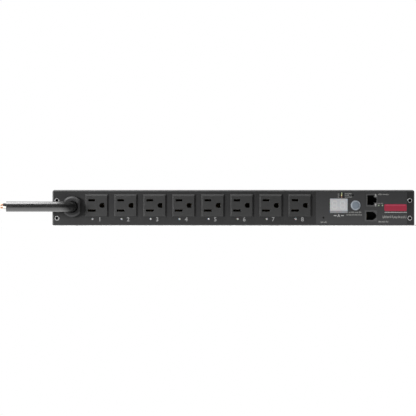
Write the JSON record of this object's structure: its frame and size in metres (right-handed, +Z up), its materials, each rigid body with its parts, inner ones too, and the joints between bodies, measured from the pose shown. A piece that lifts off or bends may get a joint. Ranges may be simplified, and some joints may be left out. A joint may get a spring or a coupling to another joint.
{
  "type": "rack power strip",
  "caption": "One-rack-unit horizontal power strip with grounded outlets, load display, select button and modular jacks on the front, and a supply cord through a bushing.",
  "frame": {"origin": "centre of the enclosure's flat bottom face", "axes": "+X along the width, to the right of someone facing the outlets; -Y out of the front panel; +Z up"},
  "size_m": [0.5095, 0.1421, 0.0439],
  "materials": {
    "black_steel": "fine-textured black powder coat",
    "zinc_screw": "black oxide",
    "bright_steel": "bright zinc",
    "overlay_film": "velvet polycarbonate film, printed",
    "outlet_black": "fine moulded texture",
    "nylon_black": "satin moulded nylon",
    "spring_brass": "rolled",
    "copper_bar": "rolled copper",
    "copper_wire": "stranded copper",
    "cord_rubber": "glossy extruded sheath",
    "core_black": "extruded insulation",
    "core_white": "extruded insulation",
    "core_green": "extruded insulation",
    "lens_milky": "milky translucent, moulded",
    "window_pale": "diffusing acrylic",
    "led_white": "moulded",
    "button_blue_grey": "satin moulded",
    "bezel_pale": "satin moulded",
    "jack_black": "moulded",
    "gold_contact": "gold flash",
    "circuit_board": "solder mask on glass-epoxy",
    "insulator_fibre": "vulcanised fibre",
    "relay_plastic": "moulded case",
    "terminal_green": "moulded",
    "transformer_iron": "varnished laminations",
    "capacitor_sleeve": "shrunk sleeve",
    "chip_epoxy": "moulded epoxy",
    "ribbon_grey": "flat cable"
  },
  "bodies": {
    "enclosure": {"chassis_base": "black_steel", "top_cover": "black_steel", "cover_screws": "zinc_screw", "front_inserts": "bright_steel", "ear_nuts": "bright_steel", "control_overlay": "overlay_film", "outlet_rear_covers": "outlet_black", "blade_contacts": "spring_brass", "ground_contacts": "spring_brass", "neutral_bus": "copper_bar", "ground_bus": "copper_bar", "line_leads": "core_black", "indicator_board": "circuit_board", "indicator_lenses": "lens_milky", "led_packages": "led_white", "strain_relief_body": "nylon_black", "strain_relief_clamp": "nylon_black", "cord_jacket": "cord_rubber", "line_core": "core_black", "neutral_core": "core_white", "ground_core": "core_green", "core_copper": "copper_wire", "ground_stud": "bright_steel", "ground_terminal": "bright_steel", "ground_nut": "bright_steel", "insulator_sheet": "insulator_fibre", "relay_board": "circuit_board", "board_standoffs": "bright_steel", "board_screws": "bright_steel", "outlet_relays": "relay_plastic", "terminal_block": "terminal_green", "terminal_screws": "bright_steel", "current_transformer": "relay_plastic", "power_transformer": "transformer_iron", "filter_capacitors": "capacitor_sleeve", "control_board": "circuit_board", "control_board_posts": "bright_steel", "display_window": "window_pale", "display_module": "led_white", "status_lenses": "lens_milky", "button_bezel": "bezel_pale", "select_switch_body": "chip_epoxy", "reset_switch_body": "chip_epoxy", "network_jack": "jack_black", "serial_jack": "jack_black", "jack_contacts": "gold_contact", "jack_leds": "led_white", "processor_chips": "chip_epoxy", "ribbon_cable": "ribbon_grey", "outlet_1": "outlet_black", "outlet_2": "outlet_black", "outlet_3": "outlet_black", "outlet_4": "outlet_black", "outlet_5": "outlet_black", "outlet_6": "outlet_black", "outlet_7": "outlet_black", "outlet_8": "outlet_black"},
    "select_button": {"select_button": "button_blue_grey"},
    "select_plunger": {"select_switch_plunger": "nylon_black"},
    "reset_plunger": {"reset_switch_plunger": "nylon_black"}
  },
  "joints": [
    {"name": "select_button_press", "type": "slide", "parent": "enclosure", "child": "select_button", "axis": [0, 1, 0], "range_m": [0, 0.0005], "stiffness_N_per_m": 1500, "springref_m": -0.0003},
    {"name": "select_plunger_press", "type": "slide", "parent": "enclosure", "child": "select_plunger", "axis": [0, 1, 0], "range_m": [0, 0.0005]},
    {"name": "reset_press", "type": "slide", "parent": "enclosure", "child": "reset_plunger", "axis": [0, 1, 0], "range_m": [0, 0.00025], "stiffness_N_per_m": 3000, "springref_m": -0.0002}
  ],
  "couplings": [
    {"joint": "select_plunger_press", "follows": "select_button_press", "ratio": 1}
  ]
}
